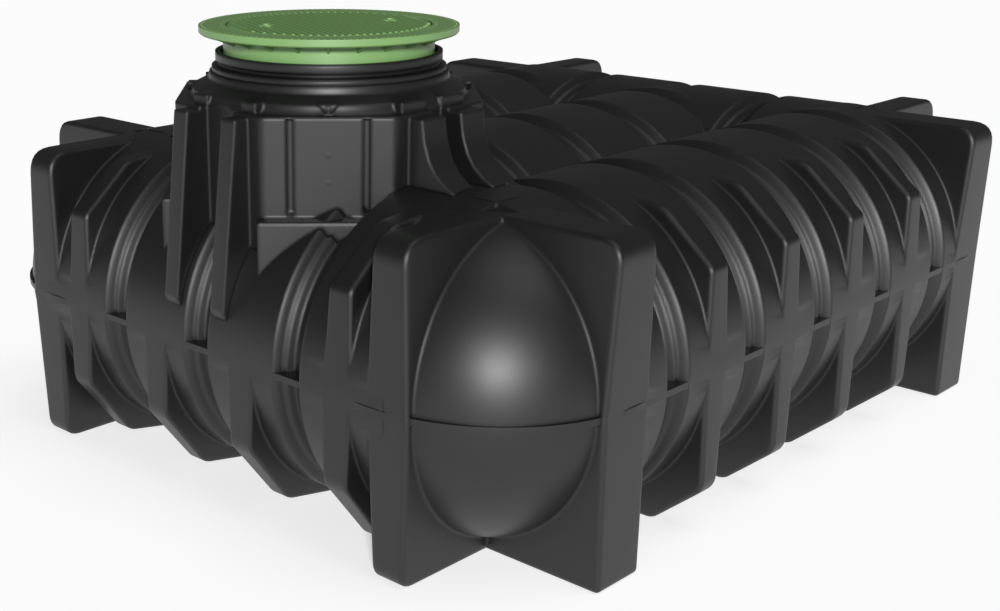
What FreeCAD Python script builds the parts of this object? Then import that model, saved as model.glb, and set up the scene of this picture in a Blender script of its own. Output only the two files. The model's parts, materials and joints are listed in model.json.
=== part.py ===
# Underground water tank: two ribbed half shells joined at a mid-height seam, with an
# inspection neck at one end that carries a telescopic access shaft and a lift-off lid.
#
# Sizes are in millimetres. X runs along the long side, Y along the short side and Z up.
# The origin is on the ground under the middle of the tank.
import FreeCAD, Part
import math
import os

V = FreeCAD.Vector

# Driving dimensions of the tank body
LENGTH = 2874.0             # over the end tubes, without the seam bead
WIDTH = 2284.0              # over the side tubes, without the seam bead
HEIGHT = 950.0              # ground to the top of the corner flanges
WALL = 10.0                 # wall of both half shells
SEAM_Z = HEIGHT / 2.0
TUBE_R = 470.0              # every tube of the body has this radius
END_X = LENGTH / 2.0 - TUBE_R      # axis of the cross tube at each end
SIDE_Y = WIDTH / 2.0 - TUBE_R      # axis of the long tube at each side

# Grooves round the tubes
GROOVE_DEPTH = 36.0
GROOVE_MOUTH = 112.0        # width at the tube surface
GROOVE_FLOOR = 44.0         # width at the bottom
LONG_PITCH = 389.0          # groove to groove on the long side
SHORT_PITCH = 372.0         # groove to groove on the short side

# Ribs midway between the grooves
RIB_SEAM_T = 104.0          # thickness at the seam
RIB_END_T = 66.0            # thickness at the top and at the foot
RIB_EDGE = 12.0             # rounding of a rib's outline edges

# Corner flanges that run down into the feet
FLANGE_SEAM_T = 150.0
FLANGE_END_T = 120.0
FLANGE_OUT_X = 105.0        # outer face beyond the end tube's axis
FLANGE_OUT_Y = 88.0         # outer face beyond the side tube's axis

# Seam bead
BEAD_OUT = 8.0
BEAD_HALF = 9.0

# Inspection neck on the cross tube at the low X end
NECK_X = -905.0
NECK_R = 398.0              # round body of the neck
NECK_TOP = 1172.0
NECK_WALL = 10.0
NECK_BORE = 318.0           # clear radius through neck and roof
FIN_REACH = 446.0
FIN_T = 60.0

# Collar, seal, shaft and lid, all on the neck's axis
COLLAR_TOP = 1256.0
COLLAR_R = 327.0
SHAFT_R = 304.0
SHAFT_WALL = 6.0
SHAFT_BOTTOM = 1010.0
FLANGE_R = 373.0
FLANGE_T = 22.0
WEBS = 24                   # under the shaft's flange
LID_TOP = 1336.0            # over the bars on the lid
LID_R = 292.0
LID_T = 9.0
LID_SEAL_T = 3.0
LID_LEDGE = 278.0           # clear radius under the lid
LID_BARS = 9                # bars each side of the middle one
LID_BAR_PITCH = 28.0
LID_BAR_TURN = 20.0


def save(name, shape):
    """Write one solid as parts/NAME.step."""
    shape = shape.removeSplitter()
    solids = shape.Solids
    shape = solids[0] if len(solids) == 1 else Part.makeCompound(solids)
    shape.exportStep("parts/" + name + ".step")
    box = shape.BoundBox
    print(name, len(solids), "solid", round(shape.Volume / 1e6, 3), "dm3",
          [round(v) for v in (box.XMin, box.YMin, box.ZMin, box.XMax, box.YMax, box.ZMax)])


def box(x0, x1, y0, y1, z0, z1):
    return Part.makeBox(x1 - x0, y1 - y0, z1 - z0, V(x0, y0, z0))


def fuse(shapes):
    return shapes[0].multiFuse(shapes[1:]) if len(shapes) > 1 else shapes[0]


def revolve(points, centre, axis):
    """Turn a closed (along, radius) outline round an axis through centre."""
    side = V(0, 0, 1) if abs(axis.z) < 0.5 else V(1, 0, 0)
    ring = [centre + axis * a + side * r for a, r in points]
    face = Part.Face(Part.makePolygon(ring + ring[:1]))
    return face.revolve(centre, axis, 360)


# The round forms of the body

def long_tube(y, r):
    return Part.makeCylinder(r, 2 * END_X, V(-END_X, y, SEAM_Z), V(1, 0, 0))


def cross_tube(x, r):
    return Part.makeCylinder(r, 2 * SIDE_Y, V(x, -SIDE_Y, SEAM_Z), V(0, 1, 0))


def long_tubes(r):
    return [long_tube(y, r) for y in (-SIDE_Y, 0.0, SIDE_Y)]


def cross_tubes(r):
    return [cross_tube(x, r) for x in (-END_X, END_X)]


def corner_balls(r):
    return [Part.makeSphere(r, V(x, y, SEAM_Z)) for x in (-END_X, END_X)
            for y in (-SIDE_Y, SIDE_Y)]


def waist_outline(inset):
    """Half outline of a tube where a groove crosses it, from one side to the other."""
    r = TUBE_R - inset
    mouth = GROOVE_MOUTH / 2.0 + inset
    floor = GROOVE_FLOOR / 2.0 + inset
    low = r - GROOVE_DEPTH
    return [(-mouth, 0), (-mouth, r), (-floor, low), (floor, low), (mouth, r), (mouth, 0)]


def long_groove(x, inset):
    """What a groove at x takes away: a slice less the waisted tubes."""
    half = GROOVE_MOUTH / 2.0 + inset
    part = box(x - half, x + half, -WIDTH, WIDTH, -10, HEIGHT + 10)
    waists = [revolve(waist_outline(inset), V(x, y, SEAM_Z), V(1, 0, 0))
              for y in (-SIDE_Y, 0.0, SIDE_Y)]
    return part.cut(fuse(waists + cross_tubes(TUBE_R - inset)))


def short_groove(y, inset):
    half = GROOVE_MOUTH / 2.0 + inset
    part = box(-LENGTH, LENGTH, y - half, y + half, -10, HEIGHT + 10)
    waists = [revolve(waist_outline(inset), V(x, y, SEAM_Z), V(0, 1, 0))
              for x in (-END_X, END_X)]
    return part.cut(fuse(waists + long_tubes(TUBE_R - inset)))


# Ribs and corner flanges: flat plates cut to an outline, thinner away from the seam

def plate(outline, seam_t, end_t, inset, edge):
    """A plate in the (u, z) plane, u along Y, thickness along X, centred on x = 0."""
    points = [V(0, u, z) for u, z in outline]
    wire = Part.makePolygon(points + points[:1])
    face = Part.Face(wire)
    if inset:
        face = face.makeOffset2D(-inset)
    deep = seam_t
    body = face.extrude(V(deep, 0, 0))
    body.translate(V(-deep / 2.0, 0, 0))
    s = seam_t / 2.0 - inset
    e = end_t / 2.0 - inset
    far = 2 * WIDTH
    taper = [V(-e, -far, -5), V(e, -far, -5), V(s, -far, SEAM_Z), V(e, -far, HEIGHT + 5),
             V(-e, -far, HEIGHT + 5), V(-s, -far, SEAM_Z)]
    wedge = Part.Face(Part.makePolygon(taper + taper[:1])).extrude(V(0, 2 * far, 0))
    body = body.common(wedge)
    return body


def rib_outline():
    """Outline of a rib, u measured outwards from the tube's axis."""
    r = TUBE_R
    return [(-120, SEAM_Z + 300), (-120, SEAM_Z + r - 30), (40, SEAM_Z + r - 2), (190, SEAM_Z + r - 8),
            (r - 30, SEAM_Z + 268), (r - 3, SEAM_Z),
            (r - 22, SEAM_Z - 250), (r - 170, 45), (190, 8), (40, 5),
            (-120, 35), (-120, 180)]


def flange_outline():
    """Outline of a corner flange, u measured outwards from the tube's axis."""
    r = TUBE_R
    return [(-160, SEAM_Z + 300), (-160, HEIGHT - 40), (0, HEIGHT - 3), (r - 95, HEIGHT), (r - 30, HEIGHT - 28),
            (r + 2, HEIGHT - 95), (r - 6, SEAM_Z), (r - 38, 20), (r - 60, 0), (0, 0),
            (-160, 35), (-160, 180)]


def place(shape, x, y, turn):
    """Move a plate made at the origin to (x, y), turned about Z."""
    moved = shape.copy()
    moved.rotate(V(0, 0, 0), V(0, 0, 1), turn)
    moved.translate(V(x, y, 0))
    return moved


def ribs(inset):
    rib = plate(rib_outline(), RIB_SEAM_T, RIB_END_T, inset, RIB_EDGE)
    found = []
    for k in (-1.5, -0.5, 0.5, 1.5):
        found.append(place(rib, k * LONG_PITCH, SIDE_Y, 0))
        found.append(place(rib, k * LONG_PITCH, -SIDE_Y, 180))
        found.append(place(rib, END_X, k * SHORT_PITCH, -90))
        found.append(place(rib, -END_X, k * SHORT_PITCH, 90))
    return found


def corner_flanges(inset):
    flange = plate(flange_outline(), FLANGE_SEAM_T, FLANGE_END_T, inset, RIB_EDGE)
    found = []
    at_x = END_X + FLANGE_OUT_X - FLANGE_SEAM_T / 2.0
    at_y = SIDE_Y + FLANGE_OUT_Y - FLANGE_SEAM_T / 2.0
    for sx in (-1, 1):
        for sy in (-1, 1):
            found.append(place(flange, sx * at_x, sy * SIDE_Y, 0 if sy > 0 else 180))
            found.append(place(flange, sx * END_X, sy * at_y, -90 if sx > 0 else 90))
    return found


def tank_form(inset):
    """The whole body as a solid, moved in from the outer skin by inset."""
    r = TUBE_R - inset
    body = fuse(long_tubes(r) + cross_tubes(r) + corner_balls(r))
    tools = [long_groove(k * LONG_PITCH, inset) for k in (-2, -1, 0, 1, 2)]
    tools += [short_groove(k * SHORT_PITCH, inset) for k in (-1, 0, 1)]
    body = body.cut(fuse(tools))
    return fuse([body] + ribs(inset) + corner_flanges(inset))


# The neck and what it carries

def neck_form(inset):
    """Form of the neck: a round body, a sloping shoulder and upright fins."""
    base = SEAM_Z + 200
    r = NECK_R - inset
    top = NECK_TOP - inset
    outline = [(base, 0), (base, r), (top - 26, r), (top, r - 26), (top + 28, 345 - inset),
               (top + 28, 0)]
    body = revolve(outline, V(NECK_X, 0, 0), V(0, 0, 1))
    fins = []
    for k in range(8):
        fin = box(0, FIN_REACH - inset, -FIN_T / 2.0 + inset, FIN_T / 2.0 - inset, base, top - 14)
        fin.rotate(V(0, 0, 0), V(0, 0, 1), 22.5 + 45.0 * k)
        fin.translate(V(NECK_X, 0, 0))
        fins.append(fin)
    return fuse([body] + fins)


def pipe(r_out, r_in, z0, z1):
    outer = Part.makeCylinder(r_out, z1 - z0, V(NECK_X, 0, z0))
    return outer.cut(Part.makeCylinder(r_in, z1 - z0, V(NECK_X, 0, z0)))


def ring(outline):
    return revolve(outline, V(NECK_X, 0, 0), V(0, 0, 1))


def make_neck(outer):
    bore = Part.makeCylinder(NECK_BORE, 900, V(NECK_X, 0, SEAM_Z))
    skin = neck_form(0.0).cut(neck_form(NECK_WALL))
    return skin.cut(bore).cut(outer)


def make_collar():
    z0 = NECK_TOP + 28
    return ring([(z0, NECK_BORE), (z0, 338), (z0 + 16, 338), (z0 + 16, 320), (z0 + 32, 320),
                 (z0 + 32, COLLAR_R), (COLLAR_TOP, COLLAR_R), (COLLAR_TOP, SHAFT_R + 8),
                 (COLLAR_TOP - 12, SHAFT_R + 8), (COLLAR_TOP - 12, NECK_BORE)])


def make_seal():
    gap = 0.4
    z1 = COLLAR_TOP - 12
    return ring([(z1 - 30, SHAFT_R + gap), (z1 - 30, NECK_BORE), (z1, NECK_BORE),
                 (z1, SHAFT_R + gap)])


def make_shaft():
    """Telescopic shaft: a tube under a flat flange, with webs between the two."""
    top = LID_TOP - 8
    under = top - FLANGE_T
    inner = SHAFT_R - SHAFT_WALL
    tube = pipe(SHAFT_R, inner, SHAFT_BOTTOM, under)
    flange = ring([(under, inner), (under, FLANGE_R - 4), (under + 4, FLANGE_R),
                   (top, FLANGE_R), (top, LID_R + 4), (top - LID_T - LID_SEAL_T, LID_R + 4),
                   (top - LID_T - LID_SEAL_T, LID_LEDGE), (under + 3, LID_LEDGE), (under + 3, inner - 6),
                   (under, inner - 6)])
    webs = []
    for k in range(WEBS):
        a = V(SHAFT_R - 1, 0, under - 24)
        b = V(FLANGE_R - 14, 0, under - 2)
        c = V(FLANGE_R - 14, 0, under + 1)
        d = V(SHAFT_R - 1, 0, under + 1)
        web = Part.Face(Part.makePolygon([a, b, c, d, a])).extrude(V(0, 5, 0))
        web.translate(V(0, -2.5, 0))
        web.rotate(V(0, 0, 0), V(0, 0, 1), 360.0 * k / WEBS)
        web.translate(V(NECK_X, 0, 0))
        webs.append(web)
    return fuse([tube, flange] + webs)


def make_lid():
    z0 = LID_TOP - 8 - LID_T
    disc = Part.makeCylinder(LID_R, LID_T, V(NECK_X, 0, z0))
    bars = []
    half = LID_R - 14
    for k in range(-LID_BARS, LID_BARS + 1):
        across = k * LID_BAR_PITCH
        reach = math.sqrt(half * half - across * across)
        bar = box(-reach, reach, across - 5, across + 5, z0 + LID_T - 1, LID_TOP)
        bar.rotate(V(0, 0, 0), V(0, 0, 1), LID_BAR_TURN)
        bar.translate(V(NECK_X, 0, 0))
        bars.append(bar)
    return fuse([disc] + bars)


def make_lid_seal():
    z0 = LID_TOP - 8 - LID_T - LID_SEAL_T
    return pipe(LID_R - 2, LID_R - 10, z0, z0 + LID_SEAL_T)


def make_bead(outer):
    """Weld bead round the seam: a thin slice of the body's outline, grown outwards."""
    slab = box(-LENGTH, LENGTH, -WIDTH, WIDTH, SEAM_Z - BEAD_HALF, SEAM_Z + BEAD_HALF)
    r = TUBE_R + BEAD_OUT
    tubes = [long_tube(-SIDE_Y, r), long_tube(SIDE_Y, r), cross_tube(-END_X, r), cross_tube(END_X, r)]
    grown = fuse(tubes + corner_balls(r) + [long_tube(0, r)])
    return grown.common(slab).cut(outer)


def main():
    os.makedirs("parts", exist_ok=True)
    outer = tank_form(0.0)
    cavity = tank_form(WALL)
    shell = outer.cut(cavity)
    far = 2 * LENGTH
    low = box(-far, far, -far, far, -10, SEAM_Z)
    high = box(-far, far, -far, far, SEAM_Z, HEIGHT + 10)
    hole = Part.makeCylinder(NECK_BORE, 900, V(NECK_X, 0, SEAM_Z))
    save("lower_shell", shell.common(low))
    save("upper_shell", shell.common(high).cut(hole))
    save("seam_bead", make_bead(outer))
    save("neck", make_neck(outer))
    save("collar", make_collar())
    save("shaft_seal", make_seal())
    save("shaft", make_shaft())
    save("lid", make_lid())
    save("lid_seal", make_lid_seal())


main()
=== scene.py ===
# %% [markdown]
# An underground water tank of black plastic with a green access shaft and lid.
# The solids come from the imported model, in metres. This script moulds the plainer ones
# again in more detail, and gives every piece its finish, the light and the camera.

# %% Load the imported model
import bmesh
import bpy
import json
import math
from mathutils import Matrix, Vector


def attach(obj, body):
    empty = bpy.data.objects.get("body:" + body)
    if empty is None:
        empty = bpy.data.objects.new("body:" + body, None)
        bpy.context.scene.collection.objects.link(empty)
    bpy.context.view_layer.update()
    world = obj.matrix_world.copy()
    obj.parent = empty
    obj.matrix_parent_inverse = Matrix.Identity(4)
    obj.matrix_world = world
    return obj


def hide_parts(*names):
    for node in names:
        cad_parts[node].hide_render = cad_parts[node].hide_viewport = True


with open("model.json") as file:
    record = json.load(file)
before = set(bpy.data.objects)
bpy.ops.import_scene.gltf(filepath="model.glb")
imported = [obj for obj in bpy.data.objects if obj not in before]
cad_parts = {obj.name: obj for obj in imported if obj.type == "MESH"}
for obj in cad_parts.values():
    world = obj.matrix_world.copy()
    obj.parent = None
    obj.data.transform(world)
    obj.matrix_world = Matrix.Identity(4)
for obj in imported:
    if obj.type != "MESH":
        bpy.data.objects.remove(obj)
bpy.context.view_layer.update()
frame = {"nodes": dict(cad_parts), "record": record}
print("solids:", sorted(frame["nodes"]))

# %% [markdown]
# The camera stands off the near corner of the tank, a little above the lid, and looks
# along the diagonal. Its place and lens were found by fitting some thirty corners of the
# tank in the photograph. The photograph is a crop whose optical centre lies left of the
# middle, so the lens is shifted and the verticals stay true.

# %% Camera
PHOTO_W = 1000
PHOTO_H = 611
EYE = Vector((-3.9055, -3.0316, 1.8218))
YAW = math.radians(45.4)
PITCH = math.radians(19.2)
ROLL = math.radians(-0.2)
FOCAL_PX = 1465.3
CENTRE_PX = (327.3, 350.6)
SENSOR = 36.0


def aim(yaw, pitch, roll):
    """Camera axes for a heading, a downward tilt and a small roll."""
    forward = Vector((math.cos(yaw) * math.cos(pitch), math.sin(yaw) * math.cos(pitch),
                      -math.sin(pitch)))
    right = Vector((math.sin(yaw), -math.cos(yaw), 0.0))
    up = right.cross(forward)
    turned_right = right * math.cos(roll) + up * math.sin(roll)
    turned_up = up * math.cos(roll) - right * math.sin(roll)
    return Matrix((turned_right, turned_up, -forward)).transposed().to_4x4()


lens = bpy.data.cameras.new("camera")
lens.sensor_width = SENSOR
lens.lens = FOCAL_PX * SENSOR / PHOTO_W
lens.shift_x = (PHOTO_W / 2 - CENTRE_PX[0]) / PHOTO_W
lens.shift_y = (CENTRE_PX[1] - PHOTO_H / 2) / PHOTO_W
camera = bpy.data.objects.new("camera", lens)
camera.matrix_world = Matrix.Translation(EYE) @ aim(YAW, PITCH, ROLL)
bpy.context.scene.collection.objects.link(camera)
bpy.context.scene.camera = camera
print("lens", round(lens.lens, 1), "mm")

# %% [markdown]
# The world is plain and gives the object a low, even light from all sides. The camera looks
# down on the floor everywhere, so the world itself doesn't show in the picture.

# %% World
bpy.context.scene.view_settings.view_transform = "Standard"
SKY_LIGHT = 0.10


def make_world():
    world = bpy.data.worlds.new("studio")
    bpy.context.scene.world = world
    world.use_nodes = True
    sky = world.node_tree.nodes["Background"]
    sky.inputs["Color"].default_value = (1.0, 1.0, 1.0, 1.0)
    sky.inputs["Strength"].default_value = SKY_LIGHT


make_world()
print("sky light", SKY_LIGHT)

# %% [markdown]
# Two lamps do the rest. A soft sun stands behind the camera at about its own height,
# because the photograph has its round highlight in the middle of the corner ball and its
# brightest faces square to the camera. A weaker one from above gives the lid its green and
# the tubes their crest lines. Suns keep the same strength over the whole floor.

# %% Lamps
KEY_HEADING = 226.0
KEY_HEIGHT = 17.0
KEY_STRENGTH = 3.6
KEY_WIDTH = 8.0
TOP_TURN = 60.0
TOP_HEIGHT = 72.0
TOP_STRENGTH = 0.5
TOP_WIDTH = 40.0


def sun(name, heading, height, strength, width):
    """A soft sun that shines from a heading (degrees from +X) and height."""
    light = bpy.data.lights.new(name, "SUN")
    light.energy = strength
    light.angle = math.radians(width)
    thing = bpy.data.objects.new(name, light)
    turn, rise = math.radians(heading), math.radians(height)
    source = Vector((math.cos(turn) * math.cos(rise), math.sin(turn) * math.cos(rise), math.sin(rise)))
    thing.rotation_euler = (-source).to_track_quat("-Z", "Y").to_euler()
    bpy.context.scene.collection.objects.link(thing)
    return thing


sun("key", KEY_HEADING, KEY_HEIGHT, KEY_STRENGTH, KEY_WIDTH)
sun("top", KEY_HEADING + TOP_TURN, TOP_HEIGHT, TOP_STRENGTH, TOP_WIDTH)
print("key lamp", KEY_STRENGTH, "and top lamp", TOP_STRENGTH)

# %% [markdown]
# The floor is pale and catches the tank's shadow. Its own colour is lit by the lamps, and
# for the camera it is lifted evenly, so that far from the tank it runs out into white.

# %% Floor
FLOOR_HALF = 40.0
FLOOR_LIFT = 0.50


def sees_background(nodes, links):
    """1 for camera, glossy and transmission rays, 0 for the rays that carry light."""
    path = nodes.new("ShaderNodeLightPath")
    total = path.outputs["Is Camera Ray"]
    for name in ("Is Glossy Ray", "Is Transmission Ray"):
        both = nodes.new("ShaderNodeMath")
        both.operation = "MAXIMUM"
        links.new(total, both.inputs[0])
        links.new(path.outputs[name], both.inputs[1])
        total = both.outputs["Value"]
    return total


def make_floor():
    h = FLOOR_HALF
    mesh = bpy.data.meshes.new("floor")
    mesh.from_pydata([(-h, -h, 0), (h, -h, 0), (h, h, 0), (-h, h, 0)], [], [(0, 1, 2, 3)])
    floor = bpy.data.objects.new("floor", mesh)
    bpy.context.scene.collection.objects.link(floor)
    paint = bpy.data.materials.new("floor_paint")
    paint.use_nodes = True
    nodes, links = paint.node_tree.nodes, paint.node_tree.links
    skin = nodes["Principled BSDF"]
    skin.inputs["Base Color"].default_value = (0.8, 0.8, 0.8, 1.0)
    skin.inputs["Roughness"].default_value = 0.9
    skin.inputs["Specular IOR Level"].default_value = 0.0
    lift = nodes.new("ShaderNodeEmission")
    lift.inputs["Strength"].default_value = FLOOR_LIFT
    lifted = nodes.new("ShaderNodeAddShader")
    links.new(skin.outputs["BSDF"], lifted.inputs[0])
    links.new(lift.outputs["Emission"], lifted.inputs[1])
    pick = nodes.new("ShaderNodeMixShader")
    links.new(sees_background(nodes, links), pick.inputs["Fac"])
    links.new(skin.outputs["BSDF"], pick.inputs[1])
    links.new(lifted.outputs["Shader"], pick.inputs[2])
    links.new(pick.outputs["Shader"], nodes["Material Output"].inputs["Surface"])
    mesh.materials.append(paint)


make_floor()
print("floor", 2 * FLOOR_HALF, "m wide")

# %% [markdown]
# The tank is moulded polyethylene. Its skin is satin, never mirror smooth: the mould leaves
# a fine orange-peel texture, and the sheen drifts a little over a large surface. One group
# serves the black body and the green shaft, each with its own values.

# %% Moulded skin, a group for every plastic piece
TINT_SCALE = 2.5
SHEEN_SCALE = 7.0
GRAIN_SCALE = 260.0


def moulded_skin_group():
    """Colour drift, sheen drift and fine relief of a moulded plastic skin."""
    group = bpy.data.node_groups.new("moulded_skin", "ShaderNodeTree")
    face = group.interface
    for name, kind, value in (("Base", "Color", (0.5, 0.5, 0.5, 1.0)), ("Drift", "Float", 0.2),
                              ("Rough", "Float", 0.4)):
        face.new_socket(name, in_out="INPUT", socket_type="NodeSocket" + kind).default_value = value
    for name, kind in (("Color", "Color"), ("Roughness", "Float"), ("Height", "Float")):
        face.new_socket(name, in_out="OUTPUT", socket_type="NodeSocket" + kind)
    nodes, links = group.nodes, group.links
    given = nodes.new("NodeGroupInput")
    result = nodes.new("NodeGroupOutput")
    place = nodes.new("ShaderNodeTexCoord")

    def noise(scale, detail):
        made = nodes.new("ShaderNodeTexNoise")
        made.inputs["Scale"].default_value = scale
        made.inputs["Detail"].default_value = detail
        links.new(place.outputs["Object"], made.inputs["Vector"])
        return made.outputs["Fac"]

    def around_one(source):
        """1 plus Drift times the noise, which is first centred on zero."""
        centred = nodes.new("ShaderNodeMath")
        centred.operation = "SUBTRACT"
        centred.inputs[1].default_value = 0.5
        swing = nodes.new("ShaderNodeMath")
        swing.operation = "MULTIPLY_ADD"
        swing.inputs[2].default_value = 1.0
        links.new(source, centred.inputs[0])
        links.new(centred.outputs["Value"], swing.inputs[0])
        links.new(given.outputs["Drift"], swing.inputs[1])
        return swing.outputs["Value"]

    tint = nodes.new("ShaderNodeVectorMath")
    tint.operation = "SCALE"
    links.new(given.outputs["Base"], tint.inputs[0])
    links.new(around_one(noise(TINT_SCALE, 4.0)), tint.inputs["Scale"])
    dull = nodes.new("ShaderNodeMath")
    dull.operation = "MULTIPLY"
    links.new(given.outputs["Rough"], dull.inputs[0])
    links.new(around_one(noise(SHEEN_SCALE, 3.0)), dull.inputs[1])
    links.new(tint.outputs["Vector"], result.inputs["Color"])
    links.new(dull.outputs["Value"], result.inputs["Roughness"])
    links.new(noise(GRAIN_SCALE, 3.0), result.inputs["Height"])
    return group


SKIN = moulded_skin_group()
print("skin group has", len(SKIN.nodes), "nodes")

# %% [markdown]
# Moulded edges are never sharp. The ribs and flanges are rounded in their meshes, and the
# material rounds the light over the small edges and inner corners that are left, by the
# radius a plastic mould would have there. Rounding every inner corner in the mesh would take
# far more faces and look the same.

# %% Plastics
SEAM_HEIGHT = 0.475
SEAM_HALF = 0.009


def edge_radius(nodes, links, radius):
    """The rounding radius, brought down to nothing at the seam, where the solids are flush."""
    place = nodes.new("ShaderNodeNewGeometry")
    split = nodes.new("ShaderNodeSeparateXYZ")
    offset = nodes.new("ShaderNodeMath")
    offset.operation = "SUBTRACT"
    offset.inputs[1].default_value = SEAM_HEIGHT
    size = nodes.new("ShaderNodeMath")
    size.operation = "ABSOLUTE"
    grow = nodes.new("ShaderNodeMapRange")
    grow.inputs["From Min"].default_value = SEAM_HALF
    grow.inputs["From Max"].default_value = SEAM_HALF + radius
    grow.inputs["To Min"].default_value = 0.0
    grow.inputs["To Max"].default_value = radius
    links.new(place.outputs["Position"], split.inputs["Vector"])
    links.new(split.outputs["Z"], offset.inputs[0])
    links.new(offset.outputs["Value"], size.inputs[0])
    links.new(size.outputs["Value"], grow.inputs["Value"])
    return grow.outputs["Result"]


def moulded_plastic(name, colour, rough, drift, relief, shine, edge):
    """A plastic that takes its surface from the moulded skin group."""
    paint = bpy.data.materials.new(name)
    paint.use_nodes = True
    nodes, links = paint.node_tree.nodes, paint.node_tree.links
    skin = nodes["Principled BSDF"]
    skin.inputs["Specular IOR Level"].default_value = shine
    made = nodes.new("ShaderNodeGroup")
    made.node_tree = SKIN
    made.inputs["Base"].default_value = (*colour, 1.0)
    made.inputs["Drift"].default_value = drift
    made.inputs["Rough"].default_value = rough
    soft = nodes.new("ShaderNodeBevel")
    soft.samples = 6
    links.new(edge_radius(nodes, links, edge), soft.inputs["Radius"])
    bump = nodes.new("ShaderNodeBump")
    bump.inputs["Strength"].default_value = relief
    bump.inputs["Distance"].default_value = 0.001
    links.new(made.outputs["Color"], skin.inputs["Base Color"])
    links.new(made.outputs["Roughness"], skin.inputs["Roughness"])
    links.new(made.outputs["Height"], bump.inputs["Height"])
    links.new(soft.outputs["Normal"], bump.inputs["Normal"])
    links.new(bump.outputs["Normal"], skin.inputs["Normal"])
    return paint


black_skin = moulded_plastic("black_polyethylene", (0.006, 0.006, 0.0062), rough=0.44,
                             drift=0.14, relief=0.08, shine=0.55, edge=0.014)
green_skin = moulded_plastic("green_polyethylene", (0.185, 0.35, 0.115), rough=0.42,
                             drift=0.10, relief=0.10, shine=0.8, edge=0.002)
rubber_skin = moulded_plastic("seal_rubber", (0.012, 0.012, 0.013), rough=0.62,
                              drift=0.20, relief=0.20, shine=0.4, edge=0.001)
finish_of = {"black_shell": black_skin, "green_cover": green_skin, "rubber": rubber_skin}
print("finishes:", [paint.name for paint in finish_of.values()])

# %% [markdown]
# The half shells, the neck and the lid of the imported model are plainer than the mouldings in
# the photograph. The next cells mould them again, in the same place and inside the same box,
# with stepped grooves, rounded ribs and flanges, and the neck's panels, slots and ledges.
# Sizes are in millimetres until a mesh is made.

# %% Plain solids
MM = 0.001
ROUND_STEPS = 128
SEAM_Z = 475.0


def linked(name, mesh):
    thing = bpy.data.objects.new(name, mesh)
    bpy.context.scene.collection.objects.link(thing)
    return thing


def solid(points, faces):
    """A closed mesh from points in millimetres, with its faces turned outwards."""
    mesh = bpy.data.meshes.new("form")
    mesh.from_pydata([Vector(p) * MM for p in points], [], faces)
    work = bmesh.new()
    work.from_mesh(mesh)
    bmesh.ops.recalc_face_normals(work, faces=work.faces)
    work.to_mesh(mesh)
    work.free()
    return linked("form", mesh)


def turned(profile, centre, axis):
    """A solid turned round an axis through centre from (along, radius) pairs."""
    points, faces = [], []
    n = ROUND_STEPS
    for along, radius in profile:
        for k in range(n):
            u = radius * math.cos(2 * math.pi * k / n)
            v = radius * math.sin(2 * math.pi * k / n)
            offset = {"X": (along, u, v), "Y": (u, along, v), "Z": (u, v, along)}[axis]
            points.append([c + o for c, o in zip(centre, offset)])
    for i in range(len(profile) - 1):
        low, high = i * n, (i + 1) * n
        faces += [(low + k, low + (k + 1) % n, high + (k + 1) % n, high + k) for k in range(n)]
    faces += [tuple(range(n)), tuple(range(len(points) - n, len(points)))]
    return solid(points, faces)


def prism(outline, low, high, axis):
    """A flat outline stretched along an axis from low to high."""
    def point(a, b, c):
        return {"X": (c, a, b), "Y": (a, c, b), "Z": (a, b, c)}[axis]
    n = len(outline)
    points = [point(a, b, low) for a, b in outline] + [point(a, b, high) for a, b in outline]
    sides = [(k, (k + 1) % n, n + (k + 1) % n, n + k) for k in range(n)]
    return solid(points, [tuple(range(n)), tuple(range(n, 2 * n))] + sides)


def block(x0, x1, y0, y1, z0, z1):
    return prism([(x0, y0), (x1, y0), (x1, y1), (x0, y1)], z0, z1, "Z")


print("a full turn has", ROUND_STEPS, "steps")

# %% [markdown]
# A moulded outline has round corners. A corner is given by its place and a radius, and the
# helper puts a short curve there, so an outline holds only the points that shape it.

# %% Rounded outlines


def rounded(outline, steps=6):
    """Corners (a, b, radius) turned into a closed outline with round corners."""
    found = []
    for i, (a, b, radius) in enumerate(outline):
        here = Vector((a, b))
        if radius == 0:
            found.append((a, b))
            continue
        back = Vector(outline[i - 1][:2]) - here
        ahead = Vector(outline[(i + 1) % len(outline)][:2]) - here
        reach = radius / math.tan(back.angle(ahead) / 2)
        start = here + back.normalized() * reach
        end = here + ahead.normalized() * reach
        for k in range(steps + 1):
            t = k / steps
            spot = start * (1 - t) ** 2 + here * 2 * t * (1 - t) + end * t * t
            found.append(tuple(spot))
    return found


print("a round corner has", len(rounded([(0, 0, 1), (4, 0, 0), (0, 4, 0)])) - 2, "points")

# %% [markdown]
# A form that repeats is made once at the origin and copied to each of its places. Forms are
# then joined, cut or trimmed as solids by a Boolean modifier with the Manifold solver, which
# is quick and leaves one closed mesh. Sculpting wouldn't keep the repeats alike.

# %% Copies and joins


def placed(thing, x, y, turn):
    """A copy of a form, turned about Z by degrees and then moved."""
    mesh = thing.data.copy()
    move = Matrix.Translation((x * MM, y * MM, 0.0))
    mesh.transform(move @ Matrix.Rotation(math.radians(turn), 4, "Z"))
    return linked("form", mesh)


def drop(things):
    for thing in things:
        bpy.data.objects.remove(thing)


def combined(first, others, operation):
    """One form from several, which are used up."""
    group = bpy.data.collections.new("tools")
    for thing in others:
        group.objects.link(thing)
    step = first.modifiers.new("step", "BOOLEAN")
    step.operation = operation
    step.solver = "MANIFOLD"
    step.operand_type = "COLLECTION"
    step.collection = group
    view = bpy.context.evaluated_depsgraph_get()
    mesh = bpy.data.meshes.new_from_object(first.evaluated_get(view))
    drop([first] + others)
    bpy.data.collections.remove(group)
    return linked("form", mesh)


print("forms are joined by the Manifold solver")

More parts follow.
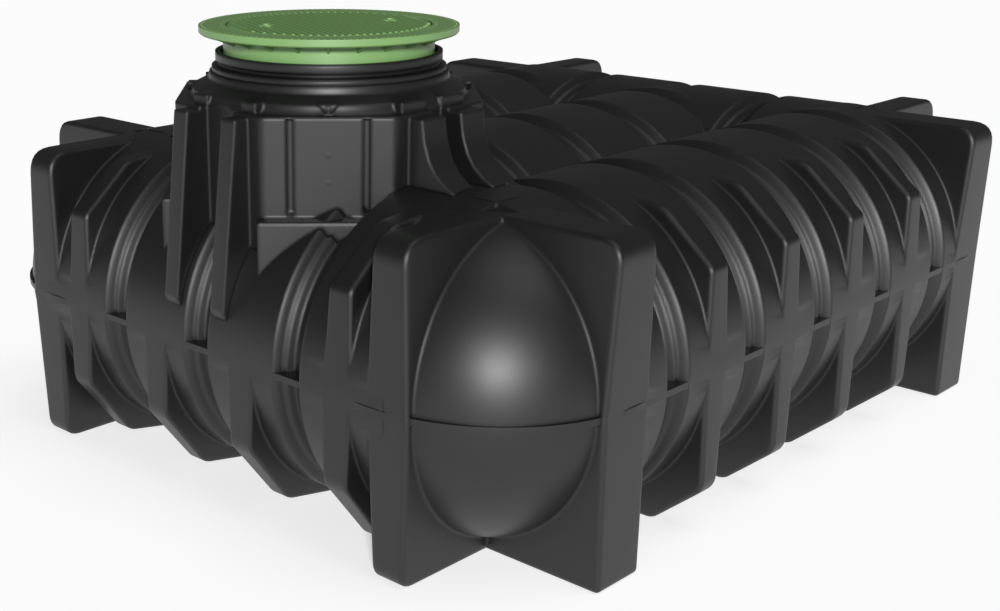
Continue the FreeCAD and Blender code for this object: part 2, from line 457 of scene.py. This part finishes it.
# %% [markdown]
# Plastic needs rounded edges to leave the mould. A real bevel rounds the ribs and flanges,
# because their edges show against the floor. The edges in the seam stay, since the other
# half goes on from there.

# %% Rounded edges
SHARP_EDGE = math.radians(31)


def soften(thing, radius, steps=3):
    """Round the sharp edges of a form, but not those that lie in the seam."""
    work = bmesh.new()
    work.from_mesh(thing.data)
    seam = SEAM_Z * MM
    picked = [e for e in work.edges if e.calc_face_angle(0.0) > SHARP_EDGE
              and not all(abs(v.co.z - seam) < 1e-5 for v in e.verts)]
    bmesh.ops.bevel(work, geom=picked, offset=radius * MM, segments=steps, profile=0.5,
                    affect="EDGES", clamp_overlap=True)
    work.to_mesh(thing.data)
    work.free()
    return thing


print("edges over", round(math.degrees(SHARP_EDGE)), "degrees are rounded")

# %% [markdown]
# Large flat faces beside small rounded ones shade unevenly when everything is smooth. Sharp
# edges are marked by their angle, and a Weighted Normal modifier keeps the large faces flat.

# %% Finished pieces
SHARP_SHADING = math.radians(35)


def finished(thing, name, paint, slot, body, *stands_for):
    """Smooth the shading between sharp edges, give the piece its finish, hang it on its body and hide
    the solids that it stands for.
    """
    thing.name = name
    thing.data.name = name
    mesh = thing.data
    mesh.polygons.foreach_set("use_smooth", [True] * len(mesh.polygons))
    mesh.set_sharp_from_angle(angle=SHARP_SHADING)
    even = thing.modifiers.new("even_shading", "WEIGHTED_NORMAL")
    even.keep_sharp = True
    mesh.materials.clear()
    mesh.materials.append(paint)
    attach(thing, body)
    if stands_for:
        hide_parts(*stands_for)
    print(name, len(mesh.polygons), "faces")
    return thing


print("shading breaks over", round(math.degrees(SHARP_SHADING)), "degrees")

# %% [markdown]
# The body is three long tubes, a cross tube at each end and four corner balls. Every groove
# is stepped: a rounded lip, a steep wall, a narrow ledge and a deeper channel. The seam belt
# bridges the grooves and stands a little proud of the corner balls.

# %% Round forms of the body
TUBE_R = 470.0
BALL_R = 463.0
END_X = 967.0
SIDE_Y = 672.0
TUBE_OVER = 50.0
GROOVE = [(53.0, 0.0), (46.0, 6.0), (37.0, 27.0), (29.0, 30.0), (17.0, 52.0)]
LONG_PITCH = 383.0
SHORT_PITCH = 370.0
LONG_GROOVES = [k * LONG_PITCH for k in (-2, -1, 0, 1, 2)]
SHORT_GROOVES = [k * SHORT_PITCH for k in (-1, 0, 1)]
BALL_STEPS = 64


def grooved_tube(centre, axis, half, grooves):
    """A body tube with its grooves, turned in one piece."""
    profile = [(-half, TUBE_R)]
    for at in grooves:
        profile += [(at - w, TUBE_R - d) for w, d in GROOVE]
        profile += [(at + w, TUBE_R - d) for w, d in GROOVE[::-1]]
    profile.append((half, TUBE_R))
    return turned(profile, centre, axis)


def ball(x, y, r):
    profile = [(-r * math.cos(math.pi * k / BALL_STEPS), r * math.sin(math.pi * k / BALL_STEPS))
               for k in range(1, BALL_STEPS)]
    return turned(profile, (x, y, SEAM_Z), "Z")


def body_tubes():
    over = END_X + TUBE_OVER
    found = [grooved_tube((0, y, SEAM_Z), "X", over if y else END_X, LONG_GROOVES)
             for y in (-SIDE_Y, 0, SIDE_Y)]
    found += [grooved_tube((x, 0, SEAM_Z), "Y", SIDE_Y + TUBE_OVER, SHORT_GROOVES)
              for x in (-END_X, END_X)]
    return found


def at_corners(make):
    return [make(x, y) for x in (-END_X, END_X) for y in (-SIDE_Y, SIDE_Y)]


print("grooves on a long tube:", len(LONG_GROOVES), "and on a cross tube:", len(SHORT_GROOVES))

# %% [markdown]
# Midway between the grooves stand upright ribs, and at each corner two broad flanges that
# run down into the feet. Each is a flat plate, thickest at the seam, where the two halves of
# the mould part. An outline is measured outwards from its tube's axis and up from the ground.

# %% Outlines of ribs and flanges
EDGE_R = 12.0
PLATE_TOP = 950.0
RIB_T = (66.0, 104.0, 66.0)          # at the top, the seam and the foot
FLANGE_X_T = (150.0, 190.0, 180.0)   # plates square to X
FLANGE_Y_T = (107.0, 142.0, 106.0)   # plates square to Y
FLANGE_OUT_X = 122.0
FLANGE_OUT_Y = 129.0
RIB_UPPER = [(-120, SEAM_Z, 0), (-120, 880, 40), (60, 922, 150), (285, 903, 90), (454, 764, 35),
             (470, SEAM_Z, 0)]
RIB_LOWER = [(470, SEAM_Z, 0), (476, 136, 60), (318, 0, 50), (-50, 0, 40), (-120, 70, 40),
             (-120, SEAM_Z, 0)]
NECK_SIDE_UPPER = [(-120, SEAM_Z, 0), (-120, 700, 0), (425, 655, 50), (470, SEAM_Z, 0)]
SHORT_RIB_LOWER = [(470, SEAM_Z, 0), (475, 230, 70), (322, 32, 60), (140, 0, 60), (-120, 20, 10),
                   (-120, SEAM_Z, 0)]
X_UPPER = [(-160, SEAM_Z, 0), (-160, 929, 60), (477, 929, 68), (470, SEAM_Z, 0)]
X_FOOT = [(470, SEAM_Z, 0), (477, 0, 16), (-60, 0, 40), (-160, 100, 50), (-160, SEAM_Z, 0)]
Y_UPPER = [(-160, SEAM_Z, 0), (-160, 929, 60), (464, 929, 74), (468, SEAM_Z, 0)]
Y_FOOT = [(468, SEAM_Z, 0), (458, 0, 50), (-60, 0, 40), (-160, 100, 50), (-160, SEAM_Z, 0)]
print("rib outline:", len(rounded(RIB_UPPER)), "points over the seam")

# %% [markdown]
# The plate is stretched to a thickness of two metres first, and each point is then drawn in
# to the thickness that belongs to its height. That tapers any outline the same way.

# %% Ribs and flanges


def half_plate(corners, seam_t, end_t, end_z):
    """Half of a rib or flange, thinner away from the seam, with rounded edges."""
    reach = 1.0 / MM
    plate = prism(rounded(corners), -reach, reach, "X")
    for point in plate.data.vertices:
        share = (point.co.z / MM - SEAM_Z) / (end_z - SEAM_Z)
        point.co.x *= (seam_t + (end_t - seam_t) * share) / (2 * reach)
    return soften(plate, EDGE_R)


def body_ribs():
    top, seam, foot = RIB_T
    upper = half_plate(RIB_UPPER, seam, top, PLATE_TOP)
    long_lower = half_plate(RIB_LOWER, seam, foot, 0.0)
    short_lower = half_plate(SHORT_RIB_LOWER, seam, foot, 0.0)
    under_neck = half_plate(NECK_SIDE_UPPER, seam, top, PLATE_TOP)
    found = []
    for k in (-1.5, -0.5, 0.5, 1.5):
        for half in (upper, long_lower):
            found.append(placed(half, k * LONG_PITCH, SIDE_Y, 0))
            found.append(placed(half, k * LONG_PITCH, -SIDE_Y, 180))
        for half in (upper, short_lower):
            found.append(placed(half, END_X, k * SHORT_PITCH, -90))
        for half in (under_neck if abs(k) < 1 else upper, short_lower):
            found.append(placed(half, -END_X, k * SHORT_PITCH, 90))
    drop([upper, long_lower, short_lower, under_neck])
    return found


def flange_halves(thickness, upper_outline, foot_outline):
    top, seam, foot = thickness
    return [half_plate(upper_outline, seam, top, PLATE_TOP), half_plate(foot_outline, seam, foot, 0.0)]


def corner_flanges():
    square_to_x = flange_halves(FLANGE_X_T, X_UPPER, X_FOOT)
    square_to_y = flange_halves(FLANGE_Y_T, Y_UPPER, Y_FOOT)
    at_x = END_X + FLANGE_OUT_X - FLANGE_X_T[1] / 2.0
    at_y = SIDE_Y + FLANGE_OUT_Y - FLANGE_Y_T[1] / 2.0
    found = []
    for sx in (-1, 1):
        for sy in (-1, 1):
            found += [placed(half, sx * at_x, sy * SIDE_Y, 90 - 90 * sy) for half in square_to_x]
            found += [placed(half, sx * END_X, sy * at_y, -90 * sx) for half in square_to_y]
    drop(square_to_x + square_to_y)
    return found


print("flanges stand out", FLANGE_OUT_X, "and", FLANGE_OUT_Y, "mm from the tubes' axes")

# %% [markdown]
# The whole outside is joined first, because every later cut needs it: the shells are hollowed
# out of it and the neck ends on it. The hollow is the same tubes and balls without grooves.

# %% Form of the tank
NECK_X = -905.0
BORE_R = 318.0
BORE_TOP = 1260.0
HOLLOW_R = 402.0
HOLLOW_BALL_R = 399.0
BEYOND_X = 1500.0
BEYOND_Y = 1200.0


def tank_form():
    tubes = body_tubes()
    rest = tubes[1:] + at_corners(lambda x, y: ball(x, y, BALL_R)) + body_ribs() + corner_flanges()
    return combined(tubes[0], rest, "UNION")


def bore():
    return turned([(SEAM_Z, BORE_R), (BORE_TOP, BORE_R)], (NECK_X, 0, 0), "Z")


def plain_tubes(r, ball_r):
    """The body's tubes and corner balls without their grooves."""
    first = turned([(-END_X, r), (END_X, r)], (0, -SIDE_Y, SEAM_Z), "X")
    rest = [turned([(-END_X, r), (END_X, r)], (0, y, SEAM_Z), "X") for y in (0, SIDE_Y)]
    rest += [turned([(-SIDE_Y, r), (SIDE_Y, r)], (x, 0, SEAM_Z), "Y") for x in (-END_X, END_X)]
    rest += at_corners(lambda x, y: ball(x, y, ball_r))
    return combined(first, rest, "UNION")


def hollow():
    """What the tank holds: plain tubes well inside the grooves."""
    return plain_tubes(HOLLOW_R, HOLLOW_BALL_R)


def layer(thing, z0, z1):
    """What lies between two heights of a form."""
    slice_box = block(-BEYOND_X, BEYOND_X, -BEYOND_Y, BEYOND_Y, z0, z1)
    return combined(placed(thing, 0, 0, 0), [slice_box], "INTERSECT")


tank = tank_form()
print("tank form:", len(tank.data.polygons), "faces")

# %% [markdown]
# The tank is hollow, and its neck opens into it. The form is hollowed and bored, and then
# parted at the seam into a lower skin, a narrow belt and an upper skin, which stand for the
# two half shells and the bead of the model. The belt runs straight over the grooves.

# %% Half shells and seam belt
BELT_HALF = 9.0
BELT_TUBE_R = TUBE_R - 1.0
BELT_BALL_R = TUBE_R + 3.0
UNDER_TANK = -10.0
OVER_TANK = 960.0
shell = combined(placed(tank, 0, 0, 0), [hollow(), bore()], "DIFFERENCE")
low, high = SEAM_Z - BELT_HALF, SEAM_Z + BELT_HALF
finished(layer(shell, UNDER_TANK, low), "lower_skin", black_skin, "black_shell", "tank", "lower_shell")
bridges = plain_tubes(BELT_TUBE_R, BELT_BALL_R)
belt = combined(layer(bridges, low, high), [hollow()], "DIFFERENCE")
belt = combined(layer(shell, low, high), [belt], "UNION")
finished(belt, "seam_belt", black_skin, "black_shell", "tank", "seam_bead")
finished(layer(shell, high, OVER_TANK), "upper_skin", black_skin, "black_shell", "tank", "upper_shell")
drop([shell, bridges])

# %% [markdown]
# The neck is an eight-sided column that ends in round steps under the collar. It could be
# turned with flats cut on it, but a prism with rounded corners gives the same in one step.

# %% Body of the neck
NECK_BASE = 560.0
NECK_APOTHEM = 430.0
NECK_BODY_TOP = 1134.0
NECK_CORNER_R = 26.0
SHOULDER = [(1074, 404), (1134, 404), (1146, 396), (1158, 394), (1180, 349), (1200, 345)]
ON_AXIS = (0, 0, 0)


def neck_body():
    """An eight-sided column under a stepped round shoulder."""
    corner = NECK_APOTHEM / math.cos(math.pi / 8)
    plan = [(corner * math.cos(math.pi * (k + 0.5) / 4), corner * math.sin(math.pi * (k + 0.5) / 4),
             NECK_CORNER_R) for k in range(8)]
    column = prism(rounded(plan), NECK_BASE, NECK_BODY_TOP, "Z")
    return combined(column, [turned(SHOULDER, ON_AXIS, "Z")], "UNION")


print("neck:", 2 * NECK_APOTHEM, "mm across its flats")

# %% [markdown]
# Its four straight sides have a recess between a pair of ribs. Its four slanted faces are flat
# panels with a narrow slot on each side. Both are plain blocks that are cut away.

# %% Recesses and slots
RIB_NEAR = (70.0, 30.0)              # on the X sides and on the Y sides
RIB_FAR = 127.0
RECESS_REACH = 403.0
RECESS_Z = (NECK_BASE - 10.0, 1156.0)
PANEL_HALF = 92.0
SLOT_HALF = 112.0
SLOT_REACH = 396.0
SLOT_Z = (868.0, 1130.0)
CLEAR_OF_NECK = 600.0


def neck_cuts():
    """Recesses between the rib pairs, and the slots beside the panels."""
    recesses = [block(RECESS_REACH, CLEAR_OF_NECK, -near, near, *RECESS_Z) for near in RIB_NEAR]
    slots = [block(SLOT_REACH, CLEAR_OF_NECK, PANEL_HALF, SLOT_HALF, *SLOT_Z),
             block(SLOT_REACH, CLEAR_OF_NECK, -SLOT_HALF, -PANEL_HALF, *SLOT_Z)]
    found = [placed(recesses[k % 2], 0, 0, 90 * k) for k in range(4)]
    found += [placed(slot, 0, 0, 45 + 90 * k) for k in range(4) for slot in slots]
    drop(recesses + slots)
    return found


print("slots:", SLOT_HALF - PANEL_HALF, "mm wide")

# %% [markdown]
# A rib is a plate with an outline of its reach from the neck's axis against the height. The
# ribs on the end of the tank slant out and run down the cross tube. Those towards the long
# sides flare out in a curve until they meet the roof.

# %% Ribs of the neck
NECK_RIB_TOP = 1126.0
NECK_RIB_REACH = 476.0
NECK_RIB_EDGE_R = 5.0
INSIDE_NECK = 300.0
RIB_HEAD = [(NECK_RIB_REACH, NECK_RIB_TOP), (INSIDE_NECK, NECK_RIB_TOP)]
PLAIN_RIB = [(INSIDE_NECK, 860), (NECK_RIB_REACH + 6, 860)] + RIB_HEAD
STEEP_RIB = [(INSIDE_NECK, NECK_BASE), (510, NECK_BASE), (535, 605)] + RIB_HEAD
FLARED_RIB = [(INSIDE_NECK, 840), (650, 840), (650, 925), (602, 938), (560, 957), (526, 984),
              (502, 1020), (NECK_RIB_REACH + 9, 1066)] + RIB_HEAD
RIB_OF_SIDE = (PLAIN_RIB, FLARED_RIB, STEEP_RIB, FLARED_RIB)
CAP_REACH = 404.0
CAP_Z = (NECK_RIB_TOP - 40.0, 1162.0)
CAP_EDGE_R = 3.0
EDGE_STEPS = 2


def neck_rib_pair(side):
    """Two ribs of a side, each with the small block over it."""
    found = []
    for sign in (1, -1):
        inner, outer = sorted((sign * RIB_NEAR[side % 2], sign * RIB_FAR))
        rib = soften(prism(RIB_OF_SIDE[side], inner, outer, "Y"), NECK_RIB_EDGE_R, EDGE_STEPS)
        cap = soften(block(INSIDE_NECK, CAP_REACH, inner, outer, *CAP_Z), CAP_EDGE_R, EDGE_STEPS)
        found += [placed(rib, 0, 0, 90 * side), placed(cap, 0, 0, 90 * side)]
        drop([rib, cap])
    return found


print("ribs of the neck:", 2 * len(RIB_OF_SIDE))

# %% [markdown]
# A slanted face has a ledge under its panel, two pins on it, and a small lug with an upright
# bar under the top ring. They are made once for one face and copied to the four.

# %% Ledges, lugs and pins
LEDGE_REACH = 476.0
LEDGE_HALF = 192.0
LEDGE_TOP = 862.0
LEDGE_BACK = 100.0
LEDGE_EDGE_R = 6.0
LUG = [(-26, 1164), (26, 1164), (10, 1140), (-10, 1140)]
LUG_REACH = (378.0, 408.0)
LUG_BAR = (400.0, 413.0, -4.0, 4.0, 1142.0, 1162.0)
PIN = [(428, 4), (432, 3)]
PIN_HEIGHTS = (958.0, 1032.0)


def panel_details():
    """What a slanted face carries: the ledge, the lug with its upright bar, and two pins."""
    ledge = block(LEDGE_BACK, LEDGE_REACH, -LEDGE_HALF, LEDGE_HALF, NECK_BASE, LEDGE_TOP)
    soften(ledge, LEDGE_EDGE_R, EDGE_STEPS)
    lug = prism(LUG, *LUG_REACH, "X")
    pins = [turned(PIN, (0, 0, z), "X") for z in PIN_HEIGHTS]
    return [ledge, lug, block(*LUG_BAR)] + pins


def neck_extras():
    """Everything that stands on the neck, side by side."""
    details = panel_details()
    found = []
    for side in range(4):
        found += neck_rib_pair(side)
        found += [placed(thing, 0, 0, 45 + 90 * side) for thing in details]
    drop(details)
    return found


print("pins on a panel:", len(PIN_HEIGHTS))

# %% [markdown]
# The neck is made about the origin, where its sides are easy to place, and then moved to its
# axis. There the tank's form is cut away from it, so that it ends on the roof, and the bore
# opens it.

# %% Neck


def neck_skin():
    about_origin = combined(neck_body(), neck_cuts(), "DIFFERENCE")
    about_origin = combined(about_origin, neck_extras(), "UNION")
    in_place = placed(about_origin, NECK_X, 0, 0)
    drop([about_origin])
    return combined(in_place, [tank, bore()], "DIFFERENCE")


finished(neck_skin(), "neck_skin", black_skin, "black_shell", "tank", "neck")

# %% [markdown]
# The lid has slanted bars close together, sunk into its rim so that it can be walked on, and
# two screws between them. The bars are solids, because their dark gaps show from far off.

# %% Lid bars and screws
LID_R = 292.0
LID_LOW = 1319.0
LID_FACE = 1328.0
LID_FLOOR = 1322.0                   # between the bars
BAR_TOP = 1330.5
BAR_EDGE_R = 1.0
BAR_PITCH = 20.0
BAR_HALF = 4.5
BARS_EACH_SIDE = 13
BAR_TURN = 65.0
BAR_REACH = 284.0
SCREW_AT = 188.0
SCREW_R = 11.0
SCREW_TOP = 1335.5
SEAT_R = 22.0


def lid_bar(across):
    reach = math.sqrt(BAR_REACH ** 2 - across ** 2)
    bar = block(-reach, reach, across - BAR_HALF, across + BAR_HALF, LID_FLOOR - 1, BAR_TOP)
    return soften(bar, BAR_EDGE_R, EDGE_STEPS)


def lid_screw(side):
    """A round seat with a six-sided head."""
    across = side * SCREW_AT
    seat = turned([(LID_FLOOR - 1, SEAT_R), (LID_FACE + 3, SEAT_R), (LID_FACE + 4, SEAT_R - 1)],
                  (0, across, 0), "Z")
    plan = [(SCREW_R * math.cos(math.pi * k / 3), across + SCREW_R * math.sin(math.pi * k / 3))
            for k in range(6)]
    head = soften(prism(plan, LID_FACE + 2, SCREW_TOP, "Z"), BAR_EDGE_R, EDGE_STEPS)
    return [seat, head]


print("bars on the lid:", 2 * BARS_EACH_SIDE + 1)

# %% [markdown]
# The lid is a disc with a raised rim. Bars and screws are joined to it, and it is then turned
# so that the bars slant as in the photograph.

# %% Lid
LID_PROFILE = [(LID_LOW, LID_R - 1), (LID_LOW + 1, LID_R), (LID_FACE - 2, LID_R),
               (LID_FACE, LID_R - 2), (LID_FACE, BAR_REACH + 3), (LID_FLOOR, BAR_REACH + 1)]


def lid_form():
    disc = turned(LID_PROFILE, ON_AXIS, "Z")
    bars = [lid_bar(k * BAR_PITCH) for k in range(-BARS_EACH_SIDE, BARS_EACH_SIDE + 1)]
    whole = combined(disc, bars + lid_screw(1) + lid_screw(-1), "UNION")
    moved = placed(whole, NECK_X, 0, BAR_TURN)
    drop([whole])
    return moved


finished(lid_form(), "lid_top", green_skin, "green_cover", "lid", "lid")

# %% [markdown]
# Two rows of small studs stand on the shaft's flange, one near its rim and one round the lid.
# They are one mesh, built in a loop from a stud of three small rings.

# %% Studs
STUD_ROWS = ((364.0, 132, 1.0), (308.0, 112, 0.6))    # radius, number, size
STUD_SIDES = 8


def stud(x, y, size, start):
    """Points and faces of one stud, whose first point has the number start."""
    n = STUD_SIDES
    around = [(math.cos(2 * math.pi * k / n), math.sin(2 * math.pi * k / n)) for k in range(n)]
    rings = ((-1.0, 1.9), (1.2 * size, 1.8 * size), (2.0 * size, 0.9 * size))    # height, radius
    points = [(x + wide * c, y + wide * s, LID_FACE + z) for z, wide in rings for c, s in around]
    faces = [(low + k, low + (k + 1) % n, low + n + (k + 1) % n, low + n + k)
             for low in (start, start + n) for k in range(n)]
    ends = [tuple(range(start, start + n)), tuple(range(start + 2 * n, start + 3 * n))]
    return points, faces + ends


def stud_rows():
    points, faces = [], []
    for radius, count, size in STUD_ROWS:
        for k in range(count):
            turn = 2 * math.pi * k / count
            x, y = NECK_X + radius * math.cos(turn), radius * math.sin(turn)
            more_points, more_faces = stud(x, y, size, len(points))
            points += more_points
            faces += more_faces
    return solid(points, faces)


finished(stud_rows(), "flange_studs", green_skin, "green_cover", "access_shaft")

# %% [markdown]
# The solids that stay as the model has them, the collar, the seals and the shaft, take the
# finish of their slot in the record.

# %% Dress the solids
slot_of = {part["node"]: part["material_slot"] for part in frame["record"]["subparts"]}
for name, node in frame["nodes"].items():
    for slot in node.material_slots:
        slot.material = finish_of[slot_of[name]]
print("dressed", len(slot_of), "solids")

# %% [markdown]
# The last cell only says that the script has run.

# %% End
print("scene built")
